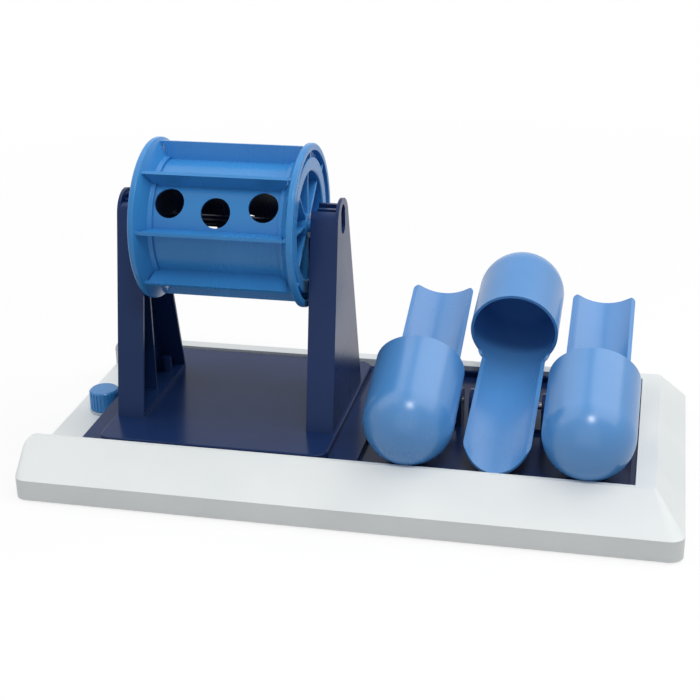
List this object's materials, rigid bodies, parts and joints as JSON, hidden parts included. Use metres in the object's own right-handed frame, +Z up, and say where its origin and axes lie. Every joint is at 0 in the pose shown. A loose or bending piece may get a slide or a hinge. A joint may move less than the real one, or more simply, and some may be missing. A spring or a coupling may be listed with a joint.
{
  "type": "dog puzzle toy",
  "caption": "Board-type dog puzzle toy: off-white tray with a spinning paddle drum on two posts, tipping treat tubes and a turning lock knob",
  "frame": {"origin": "on the ground, under the centre of the tray's outline", "axes": "+X to the right along the tray, +Y from the front rail to the rear rail, +Z up"},
  "size_m": [0.46, 0.234, 0.2321],
  "materials": {
    "tray_white": "satin off-white moulded plastic",
    "deck_navy": "glossy navy moulded plastic",
    "drum_blue": "mid-blue moulded plastic, satin gloss",
    "tube_blue": "bright blue moulded plastic, satin gloss",
    "collar_pale": "pale plastic washer ring",
    "foot_rubber": "matte rubber pads",
    "steel": "zinc-plated steel"
  },
  "bodies": {
    "board": {"base_frame": "tray_white", "rubber_feet": "foot_rubber", "drum_deck": "deck_navy", "tube_deck": "deck_navy", "left_post": "deck_navy", "right_post": "deck_navy", "post_screws": "steel", "left_pivot_cradle": "deck_navy", "middle_pivot_cradle": "deck_navy", "right_pivot_cradle": "deck_navy", "left_pivot_pin": "steel", "middle_pivot_pin": "steel", "right_pivot_pin": "steel", "cradle_screws": "steel", "knob_collar": "collar_pale"},
    "drum": {"drum_barrel": "drum_blue", "left_drum_wheel": "drum_blue", "right_drum_wheel": "drum_blue", "drum_axle": "drum_blue"},
    "left_see_saw": {"left_tube": "tube_blue"},
    "middle_see_saw": {"middle_tube": "tube_blue"},
    "right_see_saw": {"right_tube": "tube_blue"},
    "knob": {"lock_knob": "drum_blue", "knob_washer": "steel", "knob_screw": "steel"}
  },
  "joints": [
    {"name": "drum_spin", "type": "hinge", "parent": "board", "child": "drum", "pos_m": [-0.09585, 0.0018, 0.1745], "axis": [1, 0, 0], "continuous": true},
    {"name": "left_tube_tip", "type": "hinge", "parent": "board", "child": "left_see_saw", "pos_m": [0.04263, 0.005, 0.047], "axis": [-1, 0, 0], "range_deg": [0, 32]},
    {"name": "middle_tube_tip", "type": "hinge", "parent": "board", "child": "middle_see_saw", "pos_m": [0.10341, 0.005, 0.047], "axis": [-1, 0, 0], "range_deg": [0, 24]},
    {"name": "right_tube_tip", "type": "hinge", "parent": "board", "child": "right_see_saw", "pos_m": [0.1642, 0.005, 0.047], "axis": [-1, 0, 0], "range_deg": [0, 32]},
    {"name": "knob_turn", "type": "hinge", "parent": "board", "child": "knob", "pos_m": [-0.206, 0.0034, 0.0187], "axis": [0, 0, 1], "range_deg": [0, 90]}
  ]
}
